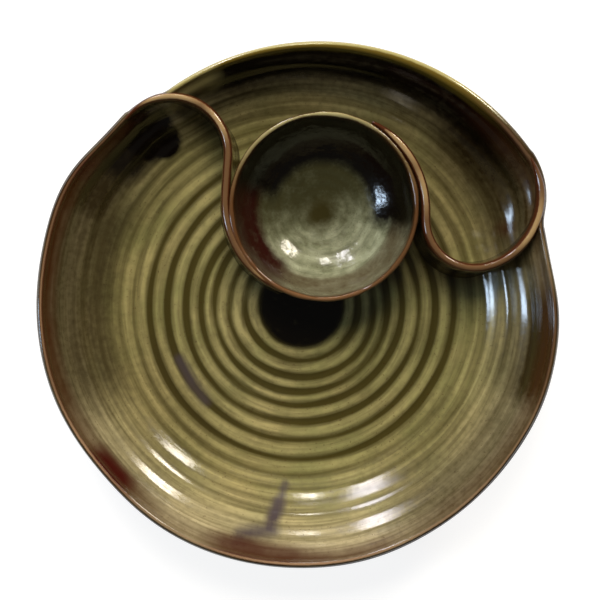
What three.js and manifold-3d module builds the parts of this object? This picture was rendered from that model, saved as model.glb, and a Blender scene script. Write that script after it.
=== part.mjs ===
import * as THREE from 'three';
import { mergeVertices } from 'three/addons/utils/BufferGeometryUtils.js';
import Module from 'manifold-3d';

// Divided dip platter in glazed stoneware. The wall of a thrown dish runs in two arcs, and at one end
// of each arc a scroll curls inward and takes hold of a small dip bowl, so that the scrolls and the
// bowl part the dish into a large front space and a smaller back one.
// Millimetres, +Z up. The origin lies under the middle of the dish, on the surface that it stands on.

// Outer walls
const rimRadius = 165; // outside of the front wall, at its lip
const rimHeight = 62; // lip above the table
const lipThickness = 4.6;
const lipLean = 20; // degrees that the walls lean out at the lip
const coveReach = 28; // how far the wall runs on level past the floor
const coveRise = 30; // length of the straighter stretch below the lip
const backInset = 1.8; // the back wall is thrown this much smaller
const backShiftX = 13.2; // and set over to the right
const backShiftY = 2.9;

// Floor and foot
const floorRadius = 106; // where the floor ends and the walls begin
const floorThickness = 8;
const firstRing = 26.5; // radius of the innermost throwing groove
const ringPitch = 10.7;
const ringDepth = 1.2;
const ringLand = 2.5; // least floor left outside the last groove
const dimpleDepth = 2.2; // hollow in the middle of the floor
const footRadius = 92;
const footWidth = 10;
const footHeight = 6;
const footChamfer = 1.2;

// Dip bowl
const dipX = 16;
const dipY = 62.5;
const dipRadius = 60; // outside, at its lip
const dipLip = 4.4;
const dipLean = 11; // degrees
const dipFloorRadius = 20;
const dipFloorThickness = 7;
const dipCoveReach = 27;
const dipCoveRise = 24;

// Scrolls
const scrollRadius = 39; // middle of the strip, round the curl
const scrollBase = 8.5; // strip where it stands on the floor
const leftHug = 78; // degrees that each scroll runs on round the dip bowl
const rightHug = 59;
const featherLength = 34; // the strip thins out over its last stretch
const featherShare = 0.25; // what is left of its outer half at the end

const jointGap = 0.3; // slip joint between two pieces

// Facets
const wallStep = 4; // degrees between the sections of a wall
const scrollStep = 5; // millimetres between the sections of a scroll
const curveSteps = 8; // along the side of a wall
const lipSteps = 4; // round a lip
const floorSides = 72;
const dipSides = 60;
const footSides = 72;

const wasm = await Module();
wasm.setup();

const floorTop = footHeight + floorThickness;
const seatHeight = floorTop + jointGap;
const backRadius = rimRadius - backInset;
const dishCentre = new THREE.Vector2(0, 0);
const backCentre = new THREE.Vector2(backShiftX, backShiftY);
const dipCentre = new THREE.Vector2(dipX, dipY);
const hugRadius = dipRadius + jointGap + lipThickness / 2;

const angleOf = (from, to) => Math.atan2(to.y - from.y, to.x - from.x);
const onCircle = (centre, radius, angle) =>
  new THREE.Vector2(centre.x + radius * Math.cos(angle), centre.y + radius * Math.sin(angle));

// Where two circles cross, on the left (side 1) or the right (side -1) of the line between them.
function crossing(centreA, radiusA, centreB, radiusB, side) {
  const line = centreB.clone().sub(centreA);
  const span = line.length();
  const along = (radiusA ** 2 - radiusB ** 2 + span ** 2) / (2 * span);
  const across = side * Math.sqrt(radiusA ** 2 - along ** 2);
  line.divideScalar(span);
  return new THREE.Vector2(
    centreA.x + along * line.x - across * line.y,
    centreA.y + along * line.y + across * line.x,
  );
}

// Plan of the walls. Each curl is tangent to the wall that it grows from and to the dip bowl.
const curlOutside = scrollRadius + lipThickness / 2;
const leftCentre =
  crossing(dishCentre, rimRadius - curlOutside, dipCentre, hugRadius + scrollRadius, 1);
const rightCentre =
  crossing(backCentre, backRadius - curlOutside, dipCentre, hugRadius + scrollRadius, -1);
const leftTangent = angleOf(dishCentre, leftCentre);
const rightTangent =
  angleOf(dishCentre, onCircle(backCentre, backRadius, angleOf(backCentre, rightCentre)));
const leftJoin = crossing(leftCentre, curlOutside, backCentre, backRadius, 1);
const rightJoin = crossing(rightCentre, curlOutside, dishCentre, rimRadius, 1);
const leftMeeting = angleOf(dishCentre, leftJoin);
const rightMeeting = angleOf(dishCentre, rightJoin);
const fullTurn = 2 * Math.PI;

// The outline of the rim, counter-clockwise, as arcs with a centre, a radius and two polar angles.
const frontArcs = [
  { centre: leftCentre, radius: curlOutside, from: leftMeeting, to: leftTangent },
  { centre: dishCentre, radius: rimRadius, from: leftTangent, to: rightMeeting + fullTurn },
];
const backArcs = [
  { centre: rightCentre, radius: curlOutside, from: rightMeeting, to: rightTangent },
  { centre: backCentre, radius: backRadius, from: rightTangent, to: leftMeeting },
];

// Distance from the middle of the dish to the far side of an arc's circle, along a polar angle.
function reach(arc, angle) {
  const along = arc.centre.x * Math.cos(angle) + arc.centre.y * Math.sin(angle);
  return along + Math.sqrt(along ** 2 - arc.centre.lengthSq() + arc.radius ** 2);
}

// Upright section of a thrown wall: up the inside, round the lip and down the outside. Each point has
// a share, 0 at the foot and 1 at the lip, that says how far it follows the rim's outline.
function thrownSection({ foot, footClay, level, lip, lipClay, lean, rise, grow = 0 }) {
  const slope = new THREE.Vector2(Math.sin(lean), Math.cos(lean));
  const middle = new THREE.CubicBezierCurve(
    foot,
    new THREE.Vector2(foot.x + level, foot.y),
    lip.clone().addScaledVector(slope, -rise),
    lip,
  );
  const side = (share, sign) => {
    const half = THREE.MathUtils.lerp(footClay, lipClay, share) / 2 + grow;
    const { x, y } = middle.getTangent(share);
    const point = middle.getPoint(share).addScaledVector(new THREE.Vector2(-y, x), sign * half);
    return { r: point.x, z: point.y, share: share ** 2 };
  };
  const steps = Array.from({ length: curveSteps + 1 }, (_, i) => i / curveSteps);
  const lipArc = Array.from({ length: lipSteps - 1 }, (_, i) => {
    const turn = Math.PI - lean - Math.PI * (i + 1) / lipSteps;
    const radius = lipClay / 2 + grow;
    return { r: lip.x + radius * Math.cos(turn), z: lip.y + radius * Math.sin(turn), share: 1 };
  });
  const inside = steps.map((share) => side(share, 1));
  const outside = steps.map((share) => side(share, -1)).reverse();
  return { inside, lipArc, outside };
}

function wallSection(grow) {
  return thrownSection({
    foot: new THREE.Vector2(floorRadius + jointGap, footHeight + floorThickness / 2),
    footClay: floorThickness,
    level: coveReach,
    lip: new THREE.Vector2(rimRadius - lipThickness / 2, rimHeight - lipThickness / 2),
    lipClay: lipThickness,
    lean: THREE.MathUtils.degToRad(lipLean),
    rise: coveRise,
    grow,
  });
}

// Turns a closed geometry so that its faces point outwards.
function facingOut(geometry) {
  const position = geometry.attributes.position;
  const index = geometry.index.array;
  const corner = (i) => new THREE.Vector3().fromBufferAttribute(position, index[i]);
  let volume = 0;
  for (let i = 0; i < index.length; i += 3) {
    volume += corner(i).dot(corner(i + 1).cross(corner(i + 2)));
  }
  if (volume < 0) {
    for (let i = 0; i < index.length; i += 3) {
      [index[i], index[i + 1]] = [index[i + 1], index[i]];
    }
  }
  geometry.computeVertexNormals();
  return geometry;
}

// A solid through sections of equal point count, either capped at its ends or closed into a ring.
function loft(sections, flatSection, isRing) {
  const count = flatSection.length;
  const spans = isRing ? sections.length : sections.length - 1;
  const index = [];
  for (let s = 0; s < spans; s += 1) {
    const here = s * count;
    const next = ((s + 1) % sections.length) * count;
    for (let i = 0; i < count; i += 1) {
      const j = (i + 1) % count;
      index.push(here + i, here + j, next + j, here + i, next + j, next + i);
    }
  }
  if (!isRing) {
    const last = spans * count;
    const winding = Math.sign(THREE.ShapeUtils.area(flatSection));
    for (const [a, b, c] of THREE.ShapeUtils.triangulateShape(flatSection, [])) {
      const corners = [flatSection[a], flatSection[b], flatSection[c]];
      const alike = Math.sign(THREE.ShapeUtils.area(corners)) === winding;
      const [p, q] = alike ? [a, b] : [b, a];
      index.push(q, p, c, last + p, last + q, last + c);
    }
  }
  const geometry = new THREE.BufferGeometry();
  const points = sections.flat().flatMap((point) => point.toArray());
  geometry.setAttribute('position', new THREE.Float32BufferAttribute(points, 3));
  geometry.setIndex(index);
  return facingOut(geometry);
}

// A solid of revolution from a profile that starts and ends on the axis, or closes on itself.
function turned(profile, sides) {
  const geometry = new THREE.LatheGeometry(profile, sides);
  geometry.deleteAttribute('normal');
  geometry.deleteAttribute('uv');
  geometry.rotateX(Math.PI / 2);
  return facingOut(mergeVertices(geometry));
}

// Polar angles along arcs, with the two ends drawn in by half of a joint.
function stations(arcs) {
  const inset = jointGap / 2 / rimRadius;
  const ends = arcs.length - 1;
  return arcs.flatMap((arc, which) => {
    const from = arc.from + (which === 0 ? inset : 0);
    const to = arc.to - (which === ends ? inset : 0);
    const steps = Math.ceil((to - from) / THREE.MathUtils.degToRad(wallStep));
    const used = which === ends ? steps + 1 : steps;
    return Array.from({ length: used }, (_, i) => ({ arc, angle: from + (to - from) * i / steps }));
  });
}

// An upright section set up at each station, with its lip on the outline of the rim.
function alongRim(section, arcs) {
  return stations(arcs).map(({ arc, angle }) => section.map(({ r, z, share }) => {
    const radius = r + (reach(arc, angle) - rimRadius) * share;
    return new THREE.Vector3(radius * Math.cos(angle), radius * Math.sin(angle), z);
  }));
}

const flat = (section) => section.map(({ r, z }) => new THREE.Vector2(r, z));

function outerWall(arcs) {
  const { inside, lipArc, outside } = wallSection(0);
  const section = [...inside, ...lipArc, ...outside];
  return loft(alongRim(section, arcs), flat(section), false);
}

// All that lies outside the inner face of the walls and a joint's width, from the table to above the rim.
function outsideOfWalls() {
  const { inside } = wallSection(jointGap);
  const lip = inside[inside.length - 1];
  const far = rimRadius + curlOutside;
  const above = rimHeight + curlOutside;
  const section = [
    ...inside,
    { r: lip.r, z: above, share: 1 },
    { r: far, z: above, share: 1 },
    { r: far, z: 0, share: 1 },
    { r: inside[0].r, z: 0, share: 0 },
  ];
  const ring = [...frontArcs, ...backArcs];
  return loft(alongRim(section, ring), flat(section), true);
}

function solid(geometry) {
  const position = new Float32Array(geometry.attributes.position.array);
  const mesh = new wasm.Mesh({
    numProp: 3,
    vertProperties: position,
    triVerts: new Uint32Array(geometry.index.array),
  });
  return new wasm.Manifold(mesh);
}

function cut(geometry, tool) {
  const mesh = solid(geometry).subtract(solid(tool)).getMesh();
  const result = new THREE.BufferGeometry();
  result.setAttribute('position', new THREE.BufferAttribute(new Float32Array(mesh.vertProperties), 3));
  result.setIndex(new THREE.BufferAttribute(new Uint32Array(mesh.triVerts), 1));
  result.computeVertexNormals();
  return result;
}

// The middle line of a scroll. It leaves the rim where the two walls join, runs clockwise round its curl
// and then counter-clockwise along the dip bowl.
function scrollStations(curlCentre, join, hug) {
  const startAngle = angleOf(curlCentre, join);
  const towardsDip = angleOf(curlCentre, dipCentre);
  const curlTurn = THREE.MathUtils.euclideanModulo(startAngle - towardsDip, fullTurn);
  const hugTurn = THREE.MathUtils.degToRad(hug);
  const curlLength = curlTurn * scrollRadius;
  const hugLength = hugTurn * hugRadius;
  const curlSteps = Math.ceil(curlLength / scrollStep);
  const hugSteps = Math.ceil(hugLength / scrollStep);
  const curl = Array.from({ length: curlSteps }, (_, i) => {
    const angle = startAngle - curlTurn * i / curlSteps;
    return { at: onCircle(curlCentre, scrollRadius, angle), facing: angle, left: Infinity };
  });
  const hugging = Array.from({ length: hugSteps + 1 }, (_, i) => {
    const angle = towardsDip + Math.PI + hugTurn * i / hugSteps;
    return {
      at: onCircle(dipCentre, hugRadius, angle),
      facing: angle + Math.PI,
      left: hugLength * (1 - i / hugSteps),
    };
  });
  return [...curl, ...hugging];
}

// A standing strip that narrows from its base to a round lip. Its far half thins out towards the end.
function scroll(curlCentre, join, hug) {
  const half = lipThickness / 2;
  const section = [
    new THREE.Vector2(-scrollBase / 2, seatHeight),
    new THREE.Vector2(scrollBase / 2, seatHeight),
    ...Array.from({ length: lipSteps + 1 }, (_, i) => {
      const turn = Math.PI * i / lipSteps;
      return new THREE.Vector2(half * Math.cos(turn), rimHeight - half + half * Math.sin(turn));
    }),
  ];
  const sections = scrollStations(curlCentre, join, hug).map(({ at, facing, left }) => {
    const kept = THREE.MathUtils.lerp(featherShare, 1, Math.min(left / featherLength, 1));
    return section.map(({ x, y }) => {
      const place = onCircle(at, x < 0 ? x * kept : x, facing);
      return new THREE.Vector3(place.x, place.y, y);
    });
  });
  return cut(loft(sections, section, false), outsideOfWalls());
}

// Floor of the dish, with throwing grooves round a hollow in the middle.
function floorDisc() {
  const profile = [
    new THREE.Vector2(0, floorTop - dimpleDepth),
    new THREE.Vector2(firstRing - ringPitch, floorTop - ringDepth),
  ];
  for (let groove = firstRing; groove < floorRadius - ringLand; groove += ringPitch) {
    profile.push(new THREE.Vector2(groove - ringPitch / 2, floorTop));
    profile.push(new THREE.Vector2(groove, floorTop - ringDepth));
  }
  profile.push(new THREE.Vector2(floorRadius, floorTop));
  profile.push(new THREE.Vector2(floorRadius, footHeight));
  profile.push(new THREE.Vector2(0, footHeight));
  return turned(profile, floorSides);
}

function footRing() {
  const top = footHeight - jointGap;
  const inner = footRadius - footWidth;
  const corners = [
    [inner, top],
    [inner, footChamfer],
    [inner + footChamfer, 0],
    [footRadius - footChamfer, 0],
    [footRadius, footChamfer],
    [footRadius, top],
    [inner, top],
  ];
  return turned(corners.map(([r, z]) => new THREE.Vector2(r, z)), footSides);
}

function dipBowl() {
  const { inside, lipArc, outside } = thrownSection({
    foot: new THREE.Vector2(dipFloorRadius, seatHeight + dipFloorThickness / 2),
    footClay: dipFloorThickness,
    level: dipCoveReach,
    lip: new THREE.Vector2(dipRadius - dipLip / 2, rimHeight - dipLip / 2),
    lipClay: dipLip,
    lean: THREE.MathUtils.degToRad(dipLean),
    rise: dipCoveRise,
  });
  const profile = [
    new THREE.Vector2(0, seatHeight + dipFloorThickness),
    ...flat([...inside, ...lipArc, ...outside]),
    new THREE.Vector2(0, seatHeight),
  ];
  return turned(profile, dipSides);
}

const platter = new THREE.Group();

function addPiece(name, geometry, colour, roughness) {
  const material = new THREE.MeshStandardMaterial({ color: colour, roughness, metalness: 0 });
  const piece = new THREE.Mesh(geometry, material);
  piece.name = name;
  platter.add(piece);
  return piece;
}

const glossy = 0.15;
const bare = 0.85;
addPiece('platter_floor', floorDisc(), '#8c8155', glossy);
addPiece('foot_ring', footRing(), '#a98a66', bare);
addPiece('front_wall', outerWall(frontArcs), '#7d7048', glossy);
addPiece('back_wall', outerWall(backArcs), '#4a4226', glossy);
addPiece('left_scroll', scroll(leftCentre, leftJoin, leftHug), '#5a3d22', glossy);
addPiece('right_scroll', scroll(rightCentre, rightJoin, rightHug), '#523620', glossy);
addPiece('dip_bowl', dipBowl(), '#6d6c52', glossy).position.set(dipX, dipY, 0);

export default platter;
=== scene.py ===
import math

import bpy
import numpy as np
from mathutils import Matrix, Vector, noise
from mathutils.bvhtree import BVHTree


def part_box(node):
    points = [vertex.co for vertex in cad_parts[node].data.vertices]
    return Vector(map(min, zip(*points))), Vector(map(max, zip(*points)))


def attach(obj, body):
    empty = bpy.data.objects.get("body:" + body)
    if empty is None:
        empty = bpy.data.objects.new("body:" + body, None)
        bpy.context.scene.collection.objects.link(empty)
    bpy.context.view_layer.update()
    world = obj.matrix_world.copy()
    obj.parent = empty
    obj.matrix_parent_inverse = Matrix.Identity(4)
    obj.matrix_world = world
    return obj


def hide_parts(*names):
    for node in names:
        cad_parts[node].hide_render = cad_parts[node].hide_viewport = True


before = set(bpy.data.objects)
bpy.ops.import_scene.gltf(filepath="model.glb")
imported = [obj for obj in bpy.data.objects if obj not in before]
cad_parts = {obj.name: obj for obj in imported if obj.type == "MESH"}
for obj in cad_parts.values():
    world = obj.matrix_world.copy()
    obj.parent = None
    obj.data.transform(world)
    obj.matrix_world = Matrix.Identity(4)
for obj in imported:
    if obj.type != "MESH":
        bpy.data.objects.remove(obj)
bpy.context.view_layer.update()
bpy.context.scene.view_settings.view_transform = "Standard"

mm = 0.001

# heights and radii that the frame already settles, in mm
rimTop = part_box("front_wall")[1].z / mm
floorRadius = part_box("platter_floor")[1].x / mm
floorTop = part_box("platter_floor")[1].z / mm
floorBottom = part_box("platter_floor")[0].z / mm
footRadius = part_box("foot_ring")[1].x / mm
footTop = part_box("foot_ring")[1].z / mm
dipLow, dipHigh = (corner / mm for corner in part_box("dip_bowl"))
dipCentre = (dipLow + dipHigh) / 2
dipRadius = (dipHigh.x - dipLow.x) / 2


# modelling helpers

def deselectAll():
    bpy.ops.object.select_all(action="DESELECT")


def drawLine(name, points):  # edges extruded point by point from one vertex, points in mm
    deselectAll()
    bpy.ops.mesh.primitive_plane_add(size=mm)
    piece = bpy.context.object
    piece.name = name
    bpy.ops.object.mode_set(mode="EDIT")
    bpy.ops.mesh.merge(type="CENTER")
    here = Vector((0, 0, 0))
    for count, point in enumerate(points):
        step = (Vector(point) - here) * mm
        if count == 0:
            bpy.ops.transform.translate(value=step)
        else:
            bpy.ops.mesh.extrude_region_move(TRANSFORM_OT_translate={"value": step})
        here = Vector(point)
    bpy.ops.mesh.select_all(action="SELECT")
    return piece  # still in edit mode, all selected


def spinSelected(steps, degrees, centre=(0, 0)):  # counter-clockwise seen from above
    bpy.ops.mesh.spin(
        steps=steps,
        angle=math.radians(-degrees),
        center=(centre[0] * mm, centre[1] * mm, 0),
        axis=(0, 0, 1),
    )


def closeSeams():
    bpy.ops.mesh.select_all(action="SELECT")
    bpy.ops.mesh.remove_doubles(threshold=0.01 * mm)
    bpy.ops.mesh.normals_make_consistent(inside=False)
    bpy.ops.object.mode_set(mode="OBJECT")
    bpy.ops.object.shade_smooth()


def addModifier(piece, kind, **settings):
    modifier = piece.modifiers.new(kind.lower(), kind)
    for name, value in settings.items():
        setattr(modifier, name, value)
    bpy.context.view_layer.objects.active = piece
    bpy.ops.object.modifier_apply(modifier=modifier.name)


def readPoints(piece, what="co"):
    values = np.empty(len(piece.data.vertices) * 3)
    piece.data.vertices.foreach_get(what, values)
    values = values.reshape(-1, 3)
    return values / mm if what == "co" else values


def readNormals(piece):
    return readPoints(piece, "normal")


def movePoints(piece, points):
    piece.data.vertices.foreach_set("co", (points * mm).ravel())
    piece.data.update()


def paint(piece, name, values):  # one number for each vertex, read by the glaze
    layer = piece.data.attributes.new(name, "FLOAT", "POINT")
    layer.data.foreach_set("value", np.clip(values, 0, 1).astype(np.float32))


def paintThrown(piece, angle, along):  # where on the wheel: slow round the turn, quick up the wall
    turn = np.stack((np.cos(angle), np.sin(angle), along * mm), axis=1)
    layer = piece.data.attributes.new("thrown", "FLOAT_VECTOR", "POINT")
    layer.data.foreach_set("vector", turn.astype(np.float32).ravel())


def uneven(points, size, seed):  # soft noise, about -1 to 1, with bumps of that size in mm
    shift = Vector((seed * 7.3, seed * 3.1, seed * 5.7))
    return np.array([noise.noise(Vector(point) / size + shift) for point in points])


def smooth(low, high, values):
    share = np.clip((values - low) / (high - low), 0, 1)
    return share * share * (3 - 2 * share)


def spots(points, places):  # round spots seen from above: x, y, radius, softness of the edge, strength
    total = np.zeros(len(points))
    for x, y, radius, soft, strength in places:
        away = np.hypot(points[:, 0] - x, points[:, 1] - y)
        spot = 1 - smooth(radius - soft / 2, radius + soft / 2, away)
        total = np.maximum(total, strength * spot)
    return total


def drags(points, places):  # straight drags seen from above: both ends, half width, softness, strength
    total = np.zeros(len(points))
    for x, y, endX, endY, half, soft, strength in places:
        alongX, alongY = endX - x, endY - y
        share = (points[:, 0] - x) * alongX + (points[:, 1] - y) * alongY
        share = np.clip(share / (alongX ** 2 + alongY ** 2), 0, 1)
        away = np.hypot(points[:, 0] - x - share * alongX, points[:, 1] - y - share * alongY)
        total = np.maximum(total, strength * (1 - smooth(half - soft / 2, half + soft / 2, away)))
    return total


def sectors(degrees, radius, places):  # from and to degrees, radii where it starts and is full, strength
    total = np.zeros(len(radius))
    for begin, end, inner, outer, strength in places:
        turn = (degrees - begin) % 360
        feather = min(24, (end - begin) / 3)
        share = smooth(0, feather, turn) * (1 - smooth(end - begin - feather, end - begin, turn))
        total = np.maximum(total, strength * share * smooth(inner, outer, radius))
    return total


def around(degrees, places):  # swells round the rim: at degrees, width, amount
    total = np.zeros(len(degrees))
    for at, width, amount in places:
        away = (degrees - at + 180) % 360 - 180
        total += amount * np.exp(-(away / width) ** 2)
    return total


def thrownWall(clay, steps, lipSteps):  # inside up, round the lip, outside down, as (r, z)
    lean = math.radians(clay["lean"])
    lip = np.array((clay["radius"] - clay["lip"] / 2, clay["top"] - clay["lip"] / 2))
    base = np.array((clay["footRadius"], clay["footTop"] - clay["footClay"] / 2))
    bends = (
        base,
        base + (clay["level"], 0),
        lip - np.array((math.sin(lean), math.cos(lean))) * clay["rise"],
        lip,
    )
    inside = []
    outside = []
    for count in range(steps + 1):
        t = count / steps
        u = 1 - t
        weights = (u ** 3, 3 * u * u * t, 3 * u * t * t, t ** 3)
        middle = sum(weight * bend for weight, bend in zip(weights, bends))
        slopes = (u * u, 2 * u * t, t * t)
        along = sum(slope * (bends[k + 1] - bends[k]) for k, slope in enumerate(slopes))
        along = along / np.hypot(*along)
        half = (clay["footClay"] * u + clay["lip"] * t) / 2
        across = np.array((-along[1], along[0])) * half
        inside.append(middle + across)
        outside.append(middle - across)
    turns = [math.pi - lean - math.pi * (k + 1) / lipSteps for k in range(lipSteps - 1)]
    lipRound = [lip + np.array((math.cos(a), math.sin(a))) * clay["lip"] / 2 for a in turns]
    return inside, lipRound, outside[::-1]


# material helpers, most giving back the socket they made

glazeIndex = 1.52  # refraction of a stoneware glaze
wheelLumps = 2.2  # lumps of noise across the wheel, against many up the wall


def linear(hexColour):  # sRGB as written to the values that the shaders take
    channels = [int(hexColour[k:k + 2], 16) / 255 for k in (1, 3, 5)]
    bent = [c / 12.92 if c <= 0.04045 else ((c + 0.055) / 1.055) ** 2.4 for c in channels]
    return (*bent, 1)


def addNode(tree, kind, settings, inputs):
    node = tree.nodes.new(kind)
    for name, value in settings.items():
        setattr(node, name, value)
    for name, value in inputs.items():
        if isinstance(value, bpy.types.NodeSocket):
            tree.links.new(value, node.inputs[name])
        else:
            node.inputs[name].default_value = value
    return node


def newMaterial(name):
    material = bpy.data.materials.new(name)
    material.use_nodes = True
    material.node_tree.nodes.clear()
    return material, material.node_tree


def readMask(tree, name):
    return addNode(tree, "ShaderNodeAttribute", {"attribute_name": name}, {}).outputs["Fac"]


def grain(tree, spot, size, detail):  # cloudy noise with lumps of that size in mm
    inputs = {"Vector": spot, "Scale": 1 / (size * mm), "Detail": detail}
    return addNode(tree, "ShaderNodeTexNoise", {}, inputs).outputs["Fac"]


def wheelMarks(tree, spacing):  # noise drawn out along the turn of the wheel
    thrown = addNode(tree, "ShaderNodeAttribute", {"attribute_name": "thrown"}, {}).outputs["Vector"]
    scale = (wheelLumps, wheelLumps, 1 / (spacing * mm))
    wheel = addNode(tree, "ShaderNodeMapping", {}, {"Vector": thrown, "Scale": scale}).outputs[0]
    return addNode(tree, "ShaderNodeTexNoise", {}, {"Vector": wheel, "Scale": 1, "Detail": 3}).outputs["Fac"]


def ramp(tree, value, low, high, most=1.0):
    inputs = {0: value, 1: low, 2: high, 3: 0.0, 4: most}
    return addNode(tree, "ShaderNodeMapRange", {}, inputs).outputs[0]


def sum2(tree, first, second):
    return addNode(tree, "ShaderNodeMath", {"operation": "ADD"}, {0: first, 1: second}).outputs[0]


def times(tree, first, second):
    return addNode(tree, "ShaderNodeMath", {"operation": "MULTIPLY"}, {0: first, 1: second}).outputs[0]


def swing(tree, value, amount):  # noise turned into a sway about nought
    inputs = {0: value, 1: amount, 2: -amount / 2}
    return addNode(tree, "ShaderNodeMath", {"operation": "MULTIPLY_ADD"}, inputs).outputs[0]


def lay(tree, share, under, over):  # one colour over another
    return addNode(tree, "ShaderNodeMix", {"data_type": "RGBA"}, {0: share, 6: under, 7: over}).outputs[2]


def bump(tree, height, depth, under=None):  # depth in mm
    inputs = {"Height": height, "Strength": 1.0, "Distance": depth * mm}
    if under is not None:
        inputs["Normal"] = under
    return addNode(tree, "ShaderNodeBump", {}, inputs).outputs[0]


def glassCoat(tree, colour, roughness, normal):
    inputs = {"Base Color": colour, "Roughness": roughness, "IOR": glazeIndex, "Normal": normal}
    shader = addNode(tree, "ShaderNodeBsdfPrincipled", {}, inputs)
    addNode(tree, "ShaderNodeOutputMaterial", {}, {"Surface": shader.outputs[0]})


# Reduction-fired stoneware glaze: an olive glass that runs thin and khaki over the crests, pools dark
# in the grooves and breaks to iron red and tan where the lip leaves it thin. Wet gloss, a little
# uneven, with faint rings in it from the wheel.
# Shade is painted into its colour too: darker side walls, back wall and pockets where the lamps leave them
# dim.
oliveGlaze = {
    "khaki": "#a39764",
    "olive": "#878352",
    "pale": "#b3a687",  # painted light: paler up the wall, where the upper wall faces the lamps
    "groove": "#372f0d",
    "streak": "#5b5234",
    # painted shade colour for the side walls and pockets that the lamps leave dim
    "paintedShade": "#2d2410",
    # near black: glaze pooled in the middle, with painted shadow and shade in the left pocket and on the
    # back wall
    "ironAndShade": "#0a0603",
    "smudge": "#463d3d",
    "rust": "#3c1d08",
    "mustard": "#584817",
    "crimson": "#38110b",
    "tan": "#957659",
    "straw": "#8f8656",
    "outside": "#2e1f0d",
    "cloud": 34,  # mm, drift from khaki to olive
    "mottle": 4.0,
    "speck": 1.3,
    "ring": 2.6,  # spacing of the fine wheel marks
    "ripple": 5.0,  # spacing of the softer ones
    "paleFrom": 18,  # heights in mm between which the pale comes in
    "paleTo": 50,
    "rustDown": 17,  # mm below the lip that the iron red reaches
    "rustFade": 12,
    "mustardDown": 6,
    "mustardFade": 2.5,
    "strawFrom": 5,  # mm below the lip outside the back wall
    "strawFull": 2,
}


def mixOliveGlaze():
    look = oliveGlaze
    material, tree = newMaterial("oliveGlaze")
    spot = addNode(tree, "ShaderNodeTexCoord", {}, {}).outputs["Object"]
    height = addNode(tree, "ShaderNodeSeparateXYZ", {}, {0: spot}).outputs["Z"]
    cloud = grain(tree, spot, look["cloud"], 3)
    mottle = grain(tree, spot, look["mottle"], 4)
    specks = grain(tree, spot, look["speck"], 1)
    marks = wheelMarks(tree, look["ring"])
    ripple = wheelMarks(tree, look["ripple"])

    colour = lay(tree, ramp(tree, cloud, 0.35, 0.68), linear(look["khaki"]), linear(look["olive"]))
    # painted light: paler up the wall, standing in for the upper wall lit by the lamps
    litUpWall = ramp(tree, height, look["paleFrom"] * mm, look["paleTo"] * mm, 0.75)
    colour = lay(tree, litUpWall, colour, linear(look["pale"]))
    colour = lay(tree, ramp(tree, mottle, 0.42, 0.78, 0.3), colour, linear(look["streak"]))
    colour = lay(tree, ramp(tree, marks, 0.42, 0.74, 0.6), colour, linear(look["streak"]))
    pooled = sum2(tree, readMask(tree, "pool"), swing(tree, marks, 0.3))
    colour = lay(tree, ramp(tree, pooled, 0.06, 0.7, 0.95), colour, linear(look["groove"]))
    colour = lay(tree, ramp(tree, specks, 0.68, 0.76, 0.5), colour, linear(look["rust"]))
    ragged = sum2(tree, swing(tree, ripple, 0.3), swing(tree, mottle, 0.2))
    # the first two masks paint shade into the colour where the lamps leave the dish dim, the second over the
    # dark pooled middle too; the third is the glaze's own dark drags
    for name in ("paintedShade", "ironAndShade", "smudge"):
        edge = sum2(tree, readMask(tree, name), ragged)
        colour = lay(tree, ramp(tree, edge, 0.06, 0.96), colour, linear(look[name]))

    # the back wall's lip goes mustard inside and straw outside: olive glaze, partly a painted highlight
    # where the back lamps light that lip
    behind = readMask(tree, "behind")
    sway = sum2(tree, height, swing(tree, cloud, 14 * mm))
    low = (rimTop - look["rustDown"]) * mm
    band = times(tree, ramp(tree, sway, low, low + look["rustFade"] * mm), readMask(tree, "rusty"))
    colour = lay(tree, band, colour, linear(look["rust"]))
    sway = sum2(tree, height, swing(tree, cloud, 5 * mm))
    low = (rimTop - look["mustardDown"]) * mm
    band = times(tree, ramp(tree, sway, low, low + look["mustardFade"] * mm), behind)
    colour = lay(tree, band, colour, linear(look["mustard"]))
    edge = sum2(tree, readMask(tree, "straw"), swing(tree, cloud, 0.4))
    colour = lay(tree, ramp(tree, edge, 0.1, 0.95), colour, linear(look["straw"]))
    edge = sum2(tree, readMask(tree, "crimson"), swing(tree, cloud, 0.5))
    colour = lay(tree, ramp(tree, edge, 0.15, 0.95), colour, linear(look["crimson"]))
    lipSide = sum2(tree, readMask(tree, "lipSide"), swing(tree, mottle, 0.12))
    skirt = lay(tree, ramp(tree, cloud, 0.42, 0.66, 0.45), linear(look["outside"]), linear(look["streak"]))
    low = (rimTop - look["strawFrom"]) * mm
    nearLip = ramp(tree, height, low, (rimTop - look["strawFull"]) * mm)
    skirt = lay(tree, times(tree, behind, nearLip), skirt, linear(look["straw"]))
    colour = lay(tree, ramp(tree, lipSide, 0.52, 0.7), colour, skirt)
    crest = times(tree, ramp(tree, lipSide, 0.18, 0.34), ramp(tree, lipSide, 0.6, 0.48))
    colour = lay(tree, times(tree, crest, readMask(tree, "worn")), colour, linear(look["tan"]))

    gloss = sum2(tree, ramp(tree, mottle, 0.25, 0.75, 0.1), 0.1)
    skin = bump(tree, mottle, 0.04, bump(tree, marks, 0.04, bump(tree, ripple, 0.08)))
    glassCoat(tree, colour, gloss, skin)
    return material


# The same glaze thicker with iron on the standing strips: brown glass, worn tan along the lip.
ironGlaze = {
    "brown": "#20120a",
    "olive": "#463d20",
    "edge": "#40200f",
    "tan": "#8c7450",
    "cloud": 14,
    "mottle": 2.4,
    "drip": 5.5,  # mm, width of the runs down the strip
    "edgeFrom": 9,  # mm below the lip that the red-brown starts and is full
    "edgeFull": 3,
    "tanFrom": 0.45,  # and the tan
    "tanFull": 0.05,
}


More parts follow.
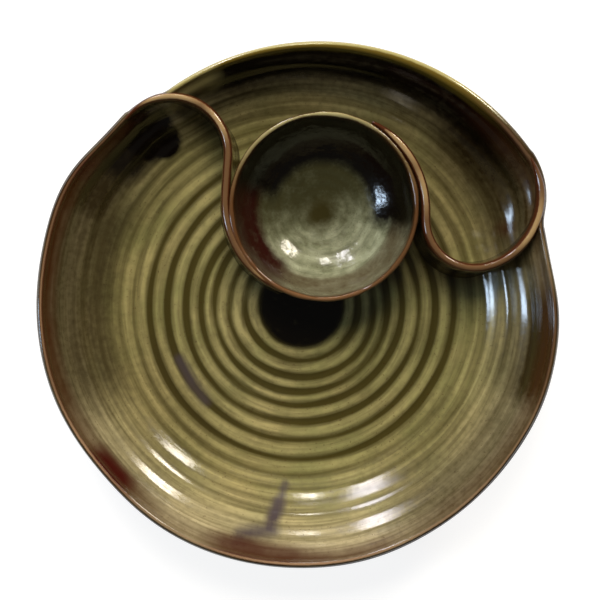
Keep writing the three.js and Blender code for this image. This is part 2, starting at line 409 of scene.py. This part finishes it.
def mixIronGlaze():
    look = ironGlaze
    material, tree = newMaterial("ironGlaze")
    spot = addNode(tree, "ShaderNodeTexCoord", {}, {}).outputs["Object"]
    height = addNode(tree, "ShaderNodeSeparateXYZ", {}, {0: spot}).outputs["Z"]
    run = 1 / (look["drip"] * mm)
    runs = addNode(tree, "ShaderNodeMapping", {}, {"Vector": spot, "Scale": (run, run, run / 5)}).outputs[0]
    drip = addNode(tree, "ShaderNodeTexNoise", {}, {"Vector": runs, "Scale": 1, "Detail": 3}).outputs["Fac"]
    cloud = grain(tree, spot, look["cloud"], 3)
    mottle = grain(tree, spot, look["mottle"], 4)

    low = sum2(tree, ramp(tree, height, 50 * mm, 18 * mm, 0.55), -0.25)
    share = ramp(tree, sum2(tree, drip, low), 0.42, 0.85)
    colour = lay(tree, share, linear(look["brown"]), linear(look["olive"]))
    sway = sum2(tree, height, swing(tree, cloud, 5 * mm))
    edge = ramp(tree, sway, (rimTop - look["edgeFrom"]) * mm, (rimTop - look["edgeFull"]) * mm)
    colour = lay(tree, edge, colour, linear(look["edge"]))
    sway = sum2(tree, height, swing(tree, mottle, 0.5 * mm))
    crest = ramp(tree, sway, (rimTop - look["tanFrom"]) * mm, (rimTop - look["tanFull"]) * mm)
    crest = times(tree, crest, readMask(tree, "worn"))
    colour = lay(tree, crest, colour, linear(look["tan"]))
    gloss = sum2(tree, ramp(tree, mottle, 0.25, 0.75, 0.14), 0.08)
    glassCoat(tree, colour, gloss, bump(tree, mottle, 0.06, bump(tree, cloud, 0.3)))
    return material


# The dip bowl's glaze lies thicker and cooler: grey-green glass, cloudy, dark where it pools.
# Shade is painted into its colour too, on the walls and floor that the lamps leave dim.
dipGlaze = {
    "green": "#8d9076",
    "grey": "#70735a",
    # dark olive for the wheel-mark streaks, and for painted shade on the floor's dim side
    "murkAndShade": "#393822",
    "pool": "#322d12",
    # painted shade colours for walls the lamps leave dim; the maroon is also the glaze's own red
    "paintedShade": "#463c2a",
    "ironAndShade": "#0a0704",
    "maroon": "#260c08",
    "edge": "#3d230d",
    "tan": "#7d5a3a",
    "straw": "#9c9468",
    "outside": "#2a1d0e",
    "cloud": 9,
    "mottle": 2.0,
    "speck": 0.9,
    "ring": 3.0,
    "edgeFrom": 6,  # mm below the lip that the brown starts and is full
    "edgeFull": 1,
    "tanFrom": 0.7,  # and the tan
    "tanFull": 0.2,
}


def mixDipGlaze():
    look = dipGlaze
    material, tree = newMaterial("dipGlaze")
    spot = addNode(tree, "ShaderNodeTexCoord", {}, {}).outputs["Object"]
    height = addNode(tree, "ShaderNodeSeparateXYZ", {}, {0: spot}).outputs["Z"]
    cloud = grain(tree, spot, look["cloud"], 4)
    mottle = grain(tree, spot, look["mottle"], 4)
    specks = grain(tree, spot, look["speck"], 1)
    marks = wheelMarks(tree, look["ring"])

    colour = lay(tree, ramp(tree, cloud, 0.36, 0.66), linear(look["green"]), linear(look["grey"]))
    colour = lay(tree, ramp(tree, marks, 0.45, 0.75, 0.5), colour, linear(look["murkAndShade"]))
    colour = lay(tree, ramp(tree, specks, 0.62, 0.74, 0.4), colour, linear(look["pool"]))
    ragged = sum2(tree, swing(tree, cloud, 0.35), swing(tree, mottle, 0.25))
    # all but the pool mask paint shade into the colour where the lamps leave the bowl dim; the maroon is
    # also the glaze's own red
    for name in ("murkAndShade", "pool", "paintedShade", "maroon", "ironAndShade"):
        edge = sum2(tree, readMask(tree, name), ragged)
        colour = lay(tree, ramp(tree, edge, 0.06, 0.96), colour, linear(look[name]))
    colour = lay(tree, readMask(tree, "outside"), colour, linear(look["outside"]))
    sway = sum2(tree, height, swing(tree, cloud, 4 * mm))
    edge = ramp(tree, sway, (rimTop - look["edgeFrom"]) * mm, (rimTop - look["edgeFull"]) * mm, 0.9)
    colour = lay(tree, edge, colour, linear(look["edge"]))
    worn = lay(tree, readMask(tree, "behind"), linear(look["tan"]), linear(look["straw"]))
    sway = sum2(tree, height, swing(tree, mottle, 0.5 * mm))
    crest = ramp(tree, sway, (rimTop - look["tanFrom"]) * mm, (rimTop - look["tanFull"]) * mm)
    colour = lay(tree, times(tree, crest, readMask(tree, "worn")), colour, worn)
    gloss = sum2(tree, ramp(tree, mottle, 0.25, 0.75, 0.1), 0.1)
    glassCoat(tree, colour, gloss, bump(tree, mottle, 0.04, bump(tree, cloud, 0.5)))
    return material


# Bare fired stoneware: buff, matt and slightly gritty, with grog and iron specks.
bareStoneware = {"buff": "#a98a66", "toast": "#8a6446", "grog": 1.1, "cloud": 18}


def mixBareStoneware():
    look = bareStoneware
    material, tree = newMaterial("bareStoneware")
    spot = addNode(tree, "ShaderNodeTexCoord", {}, {}).outputs["Object"]
    cloud = grain(tree, spot, look["cloud"], 4)
    cells = addNode(tree, "ShaderNodeTexVoronoi", {}, {"Vector": spot, "Scale": 1 / (look["grog"] * mm)})
    grog = cells.outputs["Distance"]
    colour = lay(tree, cloud, linear(look["buff"]), linear(look["toast"]))
    colour = lay(tree, ramp(tree, grog, 0.6, 0.0, 0.35), colour, linear(look["toast"]))
    rough = sum2(tree, ramp(tree, cloud, 0.2, 0.8, 0.2), 0.75)
    inputs = {"Base Color": colour, "Roughness": rough, "Normal": bump(tree, grog, 0.1)}
    shader = addNode(tree, "ShaderNodeBsdfPrincipled", {}, inputs)
    addNode(tree, "ShaderNodeOutputMaterial", {}, {"Surface": shader.outputs[0]})
    return material


# The dish: floor and walls thrown as one form, then pulled out of round at the rim

dish = {
    "radius": 165.3,  # outside of the front wall at its lip
    "top": rimTop,
    "lip": 5.0,
    "lean": 20,  # degrees at the lip
    "footRadius": floorRadius,
    "footTop": floorTop,
    "footClay": floorTop - floorBottom,
    "level": 18,
    "rise": 30,
    "turns": 360,  # a whole degree each, so that the steps fall on the ends of the walls
    "floorSteps": 88,
    "wallSteps": 72,
    "lipSteps": 10,
    "underSteps": 8,
    "outsideSkip": 3,  # the outside takes one in so many of the wall's steps
    "hollow": 1.6,
    "hollowRadius": 34,
}
# plan of the rim: centre and outside radius of each arc, and the polar degrees that the tips cover
rim = {
    "backArc": (13.2, 2.9, 163.9),
    "leftTip": (-80.3, 96, 38.0),
    "leftFrom": 116,
    "leftTo": 131,
    "rightTip": (107, 69, 49.6),
    "rightFrom": 14,
    "rightTo": 33,
    "soft": 3.0,  # mm, rounding where two arcs meet
    # slight dents and bulges of the front wall: at degrees, width, mm outwards
    "dents": ((138, 9, -2.6), (153, 11, 2), (220, 15, -2.2), (11, 11, -3.9), (285, 12, 0.8), (338, 10, 0.8)),
    # where a scroll's lip takes over from the wall's: from and to degrees, mm that the wall drops
    "tucks": ((122, 131, 0.9), (19, 32, 0.9)),
    "tuckSoft": 3,  # degrees
    "tuckFrom": 16,  # mm below the rim where the drop starts and is full
    "tuckFull": 3,
}
rings = {
    "centre": (2.1, -0.2),
    "floor": (26.5, 37, 48, 57.5, 66.5, 77.5, 89, 101.5),
    "wall": (112, 121, 128.5, 135.5, 143.5, 149.5, 157.5),
    "depth": 0.75,
    "wallDepth": 0.22,  # at the foot of the wall, dying out towards the lip
    "width": 3.1,
    "wander": 0.6,
    "ridge": (147, 19, 0.7),  # broad ridges up the wall: radius where one eases, spacing, depth at the lip
    "ripple": (7.1, 0.03),  # and fine ones: spacing, depth
    "lumps": (45, 0.5),  # unevenness of the wall: size, height
}
glazing = {
    "pool": (25, 31),  # radii where the dark middle, pooled glaze and painted shadow, starts to fade and is gone
    # painted shadow: black spots in the left pocket, where the curl's shadow falls
    "black": (
        (-89, 108, 12, 4, 1.0),
        (-95, 116, 14, 6, 1.0),
        (-100, 106, 13, 8, 1.0),
        (-113, 97, 15, 16, 0.85),
    ),
    # dark drags across the rings: x and y of both ends, half width, softness, strength
    "smudge": (
        (-9, -118, -14, -134, 2.5, 5, 0.85),
        (-13, -130, -19, -144, 4.5, 7, 0.95),
        (-17, -145, -38, -147, 4, 9, 0.9),
        (-79, -36, -71, -50, 3.5, 7, 0.8),
        (-72, -50, -62, -63, 4, 9, 0.65),
    ),
    # from and to degrees, radii where it starts and is full, strength
    # painted shade: side walls, pockets and the floor by them, darkened where the lamps leave them dim
    "paintedShade": (
        (116, 172, 124, 142, 0.95),
        (134, 222, 106, 132, 0.8),
        (178, 252, 50, 110, 0.28),
        (-78, -20, 96, 118, 0.38),
        (-78, -8, 126, 148, 0.66),
        (-40, 30, 126, 142, 0.6),
        (-36, 16, 138, 152, 0.95),
        (4, 62, 96, 112, 0.35),
        (0, 66, 112, 144, 0.9),
        (40, 130, 118, 138, 0.6),
    ),
    # painted shade: the back wall's inside, near black where it faces away from the lamps, over dark glaze
    "ironAndShade": ((20, 128, 136, 152, 0.95),),
    "crimson": (
        (242, 278, 147, 157, 0.75),
        (262, 300, 152, 160, 0.5),
        (212, 230, 150, 158, 0.9),
        (142, 152, 150, 160, 0.7),
    ),
    # the back lip's mustard and straw are partly a painted highlight from the back lamps
    "behind": (38, 56, 119, 123),  # degrees where the back wall's band starts, is full, fades and ends
    "rustyAll": 0.35,  # all round, with swells on top: at degrees, width, amount
    "rusty": ((170, 50, 0.55), (128, 9, -0.5), (222, 12, 0.4), (345, 30, 0.15), (268, 16, 0.4)),
    "wornAll": 0.2,
    "worn": ((180, 16, 0.35), (214, 13, 0.6), (270, 24, 0.7), (318, 20, 0.2)),
    "straw": ((106, 125, 147, 156, 0.8),),
    "blush": ((134, 50, 6, 13, 0.55),),
}


def rimReach(angle, centreX, centreY, radius):
    along = centreX * np.cos(angle) + centreY * np.sin(angle)
    return along + np.sqrt(along ** 2 - centreX ** 2 - centreY ** 2 + radius ** 2)


def softMost(first, second, soft):  # the larger of two, with a rounded corner
    share = np.clip(0.5 + (first - second) / (2 * soft), 0, 1)
    return second + (first - second) * share + soft * share * (1 - share)


def rimOutline(angle):
    degrees = np.degrees(angle) % 360
    reach = dish["radius"] + around(degrees, rim["dents"])
    back = rimReach(angle, *rim["backArc"])
    atBack = (degrees > rim["rightTo"]) & (degrees < rim["leftTo"])
    reach[atBack] = back[atBack]
    for side in ("left", "right"):
        atTip = (degrees >= rim[side + "From"]) & (degrees <= rim[side + "To"])
        reach[atTip] = softMost(reach[atTip], rimReach(angle[atTip], *rim[side + "Tip"]), rim["soft"])
    return reach


def throwDish():
    inside, lipRound, outside = thrownWall(dish, dish["wallSteps"], dish["lipSteps"])
    floor = [(floorRadius * k / dish["floorSteps"], floorTop) for k in range(dish["floorSteps"])]
    count = dish["underSteps"]
    under = [(floorRadius * k / count, floorBottom) for k in range(count - 1, -1, -1)]
    profile = floor + inside + lipRound + outside[::dish["outsideSkip"]] + under
    piece = drawLine("dish", [(r, 0, z) for r, z in profile])
    spinSelected(dish["turns"], 360)
    closeSeams()

    points = readPoints(piece)
    normals = readNormals(piece)
    radius = np.hypot(points[:, 0], points[:, 1])
    angle = np.arctan2(points[:, 1], points[:, 0])
    degrees = np.degrees(angle) % 360
    face = np.array(floor + inside)
    along = np.concatenate(([0], np.cumsum(np.hypot(*np.diff(face, axis=0).T))))
    upWall = np.interp(radius, face[:, 0], along)
    onFace = points[:, 2] >= np.interp(radius, face[:, 0], face[:, 1]) - 0.05
    shown = onFace | (points[:, 2] > rimTop - 2)
    fromRings = np.hypot(points[:, 0] - rings["centre"][0], points[:, 1] - rings["centre"][1])

    relief = np.zeros(len(points))
    pool = np.zeros(len(points))
    for count, at in enumerate(rings["floor"] + rings["wall"]):
        wander = rings["wander"] * np.sin((1 + count % 3) * angle + 1.7 * count)
        strength = 0.85 + 0.15 * np.sin((2 + count % 2) * angle + 2.3 * count)
        fade = 1 if at < floorRadius else (dish["radius"] - at) / (dish["radius"] - floorRadius)
        depth = rings["depth"] if at < floorRadius else rings["wallDepth"] * fade
        off = np.abs(fromRings - at - wander) / rings["width"]
        groove = strength * np.exp(-off ** 2)
        relief -= depth * groove
        pool = np.maximum(pool, groove * (1 if at < floorRadius else 0.2 + 0.4 * fade))
    hollow = 1 - smooth(0, dish["hollowRadius"], fromRings)
    relief -= dish["hollow"] * hollow
    onWall = smooth(floorRadius - 10, floorRadius + 20, radius)
    at, spacing, deep = rings["ridge"]
    climb = np.clip((radius - floorRadius) / (at - floorRadius), 0, 1)
    turn = 2 * math.pi * (upWall - np.interp(at, face[:, 0], along)) / spacing
    relief -= climb * deep * np.sin(turn + 0.5 * np.sin(2 * angle))
    spacing, deep = rings["ripple"]
    relief += onWall * deep * np.sin(2 * math.pi * upWall / spacing + 1.5 * np.sin(3 * angle))
    size, high = rings["lumps"]
    relief += high * onWall * uneven(points, size, 1)
    points += normals * np.where(shown, relief, 0)[:, None]

    share = np.clip((radius - floorRadius) / (dish["radius"] - floorRadius), 0, 1) ** 2
    pulled = (rimOutline(angle) - dish["radius"]) * share
    points[:, 0] += pulled * np.cos(angle)
    points[:, 1] += pulled * np.sin(angle)
    for begin, end, drop in rim["tucks"]:
        soft = rim["tuckSoft"]
        tuck = smooth(begin - soft, begin + soft, degrees) * (1 - smooth(end - soft, end + soft, degrees))
        nearRim = smooth(rimTop - rim["tuckFrom"], rimTop - rim["tuckFull"], points[:, 2])
        points[:, 2] -= drop * tuck * nearRim
    movePoints(piece, points)

    centrePoolAndShadow = 1 - smooth(*glazing["pool"], fromRings)
    start, full, fade, end = glazing["behind"]
    behind = smooth(start, full, degrees) * (1 - smooth(fade, end, degrees))
    # painted shadow and shade join the dark pooled middle here, and the side walls are darkened as painted
    # shade
    ironAndShade = np.maximum(centrePoolAndShadow, spots(points, glazing["black"]))
    ironAndShade = np.maximum(ironAndShade, sectors(degrees, radius, glazing["ironAndShade"]))
    lipSide = np.clip(0.5 + (radius - dish["radius"] + dish["lip"] / 2) / dish["lip"], 0, 1)
    paint(piece, "pool", pool * shown)
    paint(piece, "ironAndShade", ironAndShade * shown)
    paint(piece, "paintedShade", sectors(degrees, radius, glazing["paintedShade"]) * shown)
    paint(piece, "smudge", drags(points, glazing["smudge"]) * shown)
    crimson = np.maximum(sectors(degrees, radius, glazing["crimson"]), spots(points, glazing["blush"]))
    paint(piece, "crimson", crimson * shown)
    for name in ("rusty", "worn"):
        paint(piece, name, (glazing[name + "All"] + around(degrees, glazing[name])) * (1 - behind))
    paint(piece, "straw", sectors(degrees, radius, glazing["straw"]) * shown)
    paint(piece, "behind", behind)
    paint(piece, "lipSide", np.where(shown, lipSide, 1))  # nought inside, one outside
    paintThrown(piece, angle, upWall)
    return piece


# Scrolls: a strip stood on edge, spun arc by arc from the rim round its curl and along the dip bowl

scrolls = {
    "rows": (0, 0.8, 2.2, 5, 10, 17, 25, 33, 39, 43, 46, 48),  # mm down from the lip, over a full height
    "clay": (1.6, 3.8, 5.4, 6.2, 6.4, 6.5, 6.7, 7.0, 7.6, 8.8, 10.5, 12),  # thickness at that depth
    "step": 2.4,  # mm between the uprights
    "thinStart": 26,  # mm over which it thickens from the rim
    "startClay": 0.45,  # share of the thickness at its first and last upright
    "endClay": 0.5,
    "startDrop": 1.2,  # mm that the lip is lower there
    "endDrop": 2.0,
    "proud": 0.35,  # lip above the rim, so that the smoothed top comes level
    "sunk": 1.2,  # foot below the dish's face
    "footReach": 4,  # mm to each side that the foot looks for the dish
    "sway": (30, 0.25),  # unevenness along the strip: size, mm
    "wornAll": 0.25,
}
leftScroll = {
    "start": (-80.3, 96, 35.8, 144),  # centre, radius and polar degrees of its first upright, on the rim
    "arcs": ((35.8, -148), (2000, 0.7), (61.9, 70)),  # radius, turn
    "thinEnd": 34,
    "worn": ((-82, 132, 16, 24, 0.9), (-50, 117, 10, 18, 0.8), (-16, 12, 12, 22, 0.8)),
}
rightScroll = {
    "start": (107, 69, 46, 40),
    "arcs": ((46, -115), (30.5, -105), (400, 1), (62.6, 62)),
    "thinEnd": 22,
    "worn": ((146, 52, 14, 22, 0.9), (62, 104, 18, 26, 0.8), (78, 74, 12, 20, 0.7)),
}


def standScroll(name, scroll, dishTree):
    centreX, centreY, radius, degrees = scroll["start"]
    angle = math.radians(degrees)
    at = Vector((centreX + radius * math.cos(angle), centreY + radius * math.sin(angle)))
    heading = angle - math.pi / 2  # clockwise along the rim
    rows = scrolls["rows"]
    piece = drawLine(name, [(at.x, at.y, rimTop - row) for row in rows])
    first = at.copy()
    for bend, turn in scroll["arcs"]:
        side = 1 if turn > 0 else -1
        centre = at + side * bend * Vector((-math.sin(heading), math.cos(heading)))
        steps = max(2, round(bend * math.radians(abs(turn)) / scrolls["step"]))
        spinSelected(steps, turn, centre)
        heading += math.radians(turn)
        at = centre - side * bend * Vector((-math.sin(heading), math.cos(heading)))
    closeSeams()

    points = readPoints(piece)
    normals = readNormals(piece)
    down = rimTop - points[:, 2]
    fullHeight = rows[-1]
    group = piece.vertex_groups.new(name="clay")
    widest = max(scrolls["clay"])
    for index, point in enumerate(points):
        across = Vector(normals[index]) * scrolls["footReach"]
        feet = []
        for shift in (-1, 0, 1):
            spot = Vector((point[0], point[1], 2 * rimTop)) + shift * Vector((across.x, across.y, 0))
            hit, facing, _, _ = dishTree.ray_cast(spot * mm, Vector((0, 0, -1)))
            if hit is not None and facing.z > 0.05:
                feet.append(hit.z / mm)
        foot = min(feet) - scrolls["sunk"]
        fromFirst = math.hypot(point[0] - first.x, point[1] - first.y)
        fromLast = math.hypot(point[0] - at.x, point[1] - at.y)
        begun = min(fromFirst / scrolls["thinStart"], 1)
        ended = min(fromLast / scroll["thinEnd"], 1)
        top = rimTop + scrolls["proud"]
        top -= scrolls["startDrop"] * (1 - begun) + scrolls["endDrop"] * (1 - ended) ** 2
        depth = down[index] / fullHeight * (top - min(foot, top - 1))
        points[index, 2] = top - depth
        thickness = np.interp(depth, rows, scrolls["clay"])
        thickness *= scrolls["startClay"] + (1 - scrolls["startClay"]) * begun
        thickness *= scrolls["endClay"] + (1 - scrolls["endClay"]) * ended
        group.add([index], thickness / widest, "REPLACE")
    movePoints(piece, points)
    addModifier(piece, "SOLIDIFY", thickness=widest * mm, offset=0, vertex_group="clay")
    addModifier(piece, "SUBSURF", levels=1, render_levels=1)
    bpy.ops.object.mode_set(mode="EDIT")
    closeSeams()
    points = readPoints(piece)
    size, high = scrolls["sway"]
    points[:, :2] += high * np.stack((uneven(points, size, 4), uneven(points, size, 5)), axis=1)
    movePoints(piece, points)
    paint(piece, "worn", scrolls["wornAll"] + spots(points, scroll["worn"]))
    return piece


# Dip bowl

dip = {
    "radius": dipRadius,
    "top": rimTop,
    "lip": 3.2,
    "lean": 9,
    "footRadius": 6,
    "footTop": dipLow.z + 7,
    "footClay": 7,
    "level": 23,
    "rise": 28,
    "turns": 180,
    "floorSteps": 16,
    "wallSteps": 48,
    "lipSteps": 10,
    "underSteps": 4,
    "outsideSkip": 2,
    "rings": (9, 15.5, 22, 29, 36),
    "ringDepth": 0.16,
    "ringWidth": 2.2,
    "ringWander": 0.6,
    "ringPool": 0.3,
    "lumps": ((28, 8, 0.4), (11, 9, 0.3)),  # unevenness: size, seed, height
    # glaze up the inner wall: from and to degrees, radii where it starts and is full, strength
    # painted shade: near black from the right round the back, maroon at the left, taupe from the front round
    # to the right
    "ironAndShade": ((-28, 178, 27, 36, 1.0),),
    "maroon": ((130, 252, 37, 46, 0.95),),
    "paintedShade": ((205, 385, 42, 47, 0.8),),
    # painted shade on the floor's dim side: towards degrees, mm from the middle where it starts and is full,
    # strength
    "murkAndShade": (105, -26, 14, 0.95),
    "behind": (0, 40),  # mm behind the middle where the lip turns from tan to straw
    "outside": 0.9,
    "centre": (14.5, 60.5, 10, 15, 1.0),
    "wornAll": 0.2,
    "worn": ((100, 50, 0.6), (270, 32, 0.4)),
}


def throwDipBowl():
    inside, lipRound, outside = thrownWall(dip, dip["wallSteps"], dip["lipSteps"])
    count = dip["floorSteps"]
    floor = [(dip["footRadius"] * k / count, dip["footTop"]) for k in range(count)]
    count = dip["underSteps"]
    under = [(dip["footRadius"] * k / count, dipLow.z) for k in range(count - 1, -1, -1)]
    profile = floor + inside + lipRound + outside[::dip["outsideSkip"]] + under
    piece = drawLine("dipBowl", [(dipCentre.x + r, dipCentre.y, z) for r, z in profile])
    spinSelected(dip["turns"], 360, (dipCentre.x, dipCentre.y))
    closeSeams()

    points = readPoints(piece)
    normals = readNormals(piece)
    outX = points[:, 0] - dipCentre.x
    outY = points[:, 1] - dipCentre.y
    radius = np.hypot(outX, outY)
    angle = np.arctan2(outY, outX)
    degrees = np.degrees(angle) % 360
    face = np.array(floor + inside)
    along = np.concatenate(([0], np.cumsum(np.hypot(*np.diff(face, axis=0).T))))
    upWall = np.interp(radius, face[:, 0], along)
    onFace = points[:, 2] >= np.interp(radius, face[:, 0], face[:, 1]) - 0.05
    shown = onFace | (points[:, 2] > rimTop - 2)
    relief = np.zeros(len(points))
    pool = np.zeros(len(points))
    for count, at in enumerate(dip["rings"]):
        wander = dip["ringWander"] * np.sin((1 + count % 3) * angle + 1.3 * count)
        groove = np.exp(-((radius - at - wander) / dip["ringWidth"]) ** 2)
        relief -= dip["ringDepth"] * groove
        pool = np.maximum(pool, dip["ringPool"] * groove)
    for size, seed, high in dip["lumps"]:
        relief += high * uneven(points, size, seed)
    points += normals * np.where(shown, relief, 0)[:, None]
    movePoints(piece, points)

    pool = np.maximum(pool, spots(points, (dip["centre"],)))
    # painted shade: the floor darkened on the side that the lamps leave dim
    towards, start, full, strength = dip["murkAndShade"]
    towards = math.radians(towards)
    murkAndShade = strength * smooth(start, full, outX * math.cos(towards) + outY * math.sin(towards))
    paint(piece, "pool", pool * shown)
    paint(piece, "murkAndShade", murkAndShade * shown)
    for name in ("paintedShade", "maroon", "ironAndShade"):
        paint(piece, name, sectors(degrees, radius, dip[name]) * shown)
    paint(piece, "behind", smooth(*dip["behind"], outY))
    paint(piece, "worn", dip["wornAll"] + around(degrees, dip["worn"]))
    paint(piece, "outside", dip["outside"] * (1 - shown))
    paintThrown(piece, angle, upWall)
    return piece


# Foot ring, turned when leather hard and left bare

foot = {
    "width": 10,
    "round": 2.2,
    "ease": 0.3,  # mm off the corner's two points
    "draft": 0.2,  # lean of the outside
    "flat": 1,  # from the rounding to the flat that it stands on
    "sunk": 0.2,  # into the floor
    "turns": 120,
    "grit": (9, 0.15),  # size, mm
}


def turnFootRing():
    inner = footRadius - foot["width"]
    soft = foot["round"]
    flat = soft + foot["flat"]
    top = footTop + foot["sunk"]
    corners = [
        (inner, top),
        (inner + foot["ease"], soft),
        (inner + soft, foot["ease"]),
        (inner + flat, 0),
        (footRadius - flat, 0),
        (footRadius - soft, foot["ease"]),
        (footRadius - foot["draft"], soft),
        (footRadius, top),
        (inner, top),
    ]
    piece = drawLine("footRing", [(r, 0, z) for r, z in corners])
    spinSelected(foot["turns"], 360)
    closeSeams()
    addModifier(piece, "SUBSURF", levels=1, render_levels=1)
    points = readPoints(piece)
    size, high = foot["grit"]
    points[:, 2] += high * np.maximum(uneven(points, size, 11), 0)
    movePoints(piece, points)
    return piece


def finishPiece(piece, material, slot, *nodes):
    piece.data.materials.clear()
    piece.data.materials.append(material)
    bpy.context.view_layer.objects.active = piece
    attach(piece, "root")
    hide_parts(*nodes)
    print("made", piece.name, len(piece.data.polygons), "faces")


oliveMaterial = mixOliveGlaze()
ironMaterial = mixIronGlaze()
dipMaterial = mixDipGlaze()
bareMaterial = mixBareStoneware()
print("glazes mixed")

dishPiece = throwDish()
bpy.context.view_layer.update()
dishTree = BVHTree.FromObject(dishPiece, bpy.context.evaluated_depsgraph_get())
leftPiece = standScroll("leftScroll", leftScroll, dishTree)
rightPiece = standScroll("rightScroll", rightScroll, dishTree)
dipPiece = throwDipBowl()
footPiece = turnFootRing()
finishPiece(dishPiece, oliveMaterial, "olive_glaze", "platter_floor", "front_wall", "back_wall")
finishPiece(leftPiece, ironMaterial, "iron_glaze", "left_scroll")
finishPiece(rightPiece, ironMaterial, "iron_glaze", "right_scroll")
finishPiece(dipPiece, dipMaterial, "dip_glaze", "dip_bowl")
finishPiece(footPiece, bareMaterial, "bare_stoneware", "foot_ring")


# Stage: a white table that keeps a pale shadow, five soft lamps and the camera overhead

stage = {"size": 6.0, "white": "#f4f4f2", "glow": 0.86, "shadowed": 0.3, "room": 0.06}


def layTable():
    deselectAll()
    bpy.ops.mesh.primitive_plane_add(size=stage["size"])
    table = bpy.context.object
    table.name = "table"
    material, tree = newMaterial("whiteTable")
    path = addNode(tree, "ShaderNodeLightPath", {}, {})
    rays = [path.outputs[name] for name in ("Is Camera Ray", "Is Glossy Ray", "Is Transmission Ray")]
    seen = sum2(tree, sum2(tree, rays[0], rays[1]), rays[2])
    paper = addNode(tree, "ShaderNodeBsdfDiffuse", {}, {"Color": linear(stage["white"])})
    grey = (stage["shadowed"],) * 3 + (1,)
    pale = addNode(tree, "ShaderNodeBsdfDiffuse", {}, {"Color": grey})
    glow = addNode(tree, "ShaderNodeEmission", {}, {"Strength": stage["glow"]})
    shown = addNode(tree, "ShaderNodeAddShader", {}, {0: pale.outputs[0], 1: glow.outputs[0]})
    shaders = {0: seen, 1: paper.outputs[0], 2: shown.outputs[0]}
    both = addNode(tree, "ShaderNodeMixShader", {}, shaders)
    addNode(tree, "ShaderNodeOutputMaterial", {}, {"Surface": both.outputs[0]})
    table.data.materials.append(material)


# lamps: azimuth and elevation in degrees, distance, width and height in metres, watts, colour, and
# whether the glaze mirrors it: the skylight stands for daylight from all over the room
lamps = {
    "skylight": (97, 60, 1.6, 0.8, 0.6, 24, "#fff8ea", False),
    "backLamp": (111, 24, 1.5, 0.19, 0.7, 9, "#fbf6ff", True),
    "middleLamp": (92, 30, 1.5, 0.16, 0.2, 3, "#fff8ee", True),
    "sideLamp": (51, 27, 1.5, 0.26, 0.42, 11, "#fff4e2", True),
    "leftWindow": (184, 27, 1.6, 0.24, 0.34, 7, "#cfe6ff", True),
}


def hangLamps():
    for name, (azimuth, elevation, away, width, height, watts, colour, mirrored) in lamps.items():
        turn = math.radians(azimuth)
        rise = math.radians(elevation)
        level = away * math.cos(rise)
        place = Vector((level * math.cos(turn), level * math.sin(turn), away * math.sin(rise)))
        bpy.ops.object.light_add(type="AREA", location=place)
        lamp = bpy.context.object
        lamp.name = name
        lamp.rotation_euler = place.to_track_quat("Z", "Y").to_euler()
        lamp.data.shape = "RECTANGLE"
        lamp.data.size = width
        lamp.data.size_y = height
        lamp.data.energy = watts
        lamp.data.color = linear(colour)[:3]
        lamp.visible_glossy = mirrored


def lightRoom():
    world = bpy.data.worlds.new("room")
    bpy.context.scene.world = world
    world.use_nodes = True
    tree = world.node_tree
    tree.nodes.clear()
    path = addNode(tree, "ShaderNodeLightPath", {}, {})
    dim = addNode(tree, "ShaderNodeBackground", {}, {"Color": linear("#f2efe8"), "Strength": stage["room"]})
    white = addNode(tree, "ShaderNodeBackground", {}, {"Color": (1, 1, 1, 1), "Strength": 1.0})
    shaders = {0: path.outputs["Is Camera Ray"], 1: dim.outputs[0], 2: white.outputs[0]}
    both = addNode(tree, "ShaderNodeMixShader", {}, shaders)
    addNode(tree, "ShaderNodeOutputWorld", {}, {"Surface": both.outputs[0]})


camera = {"place": (0.9, 3.6), "aboveRim": 850, "frameWidth": 377.1}  # mm, frame measured at the rim


def setCamera():
    place = (camera["place"][0] * mm, camera["place"][1] * mm, (rimTop + camera["aboveRim"]) * mm)
    bpy.ops.object.camera_add(location=place, rotation=(0, 0, 0))
    eye = bpy.context.object
    eye.data.sensor_fit = "HORIZONTAL"
    eye.data.sensor_width = 36
    eye.data.lens = 36 * camera["aboveRim"] / camera["frameWidth"]
    eye.data.dof.use_dof = False
    bpy.context.scene.camera = eye


layTable()
hangLamps()
lightRoom()
setCamera()
print("stage set")
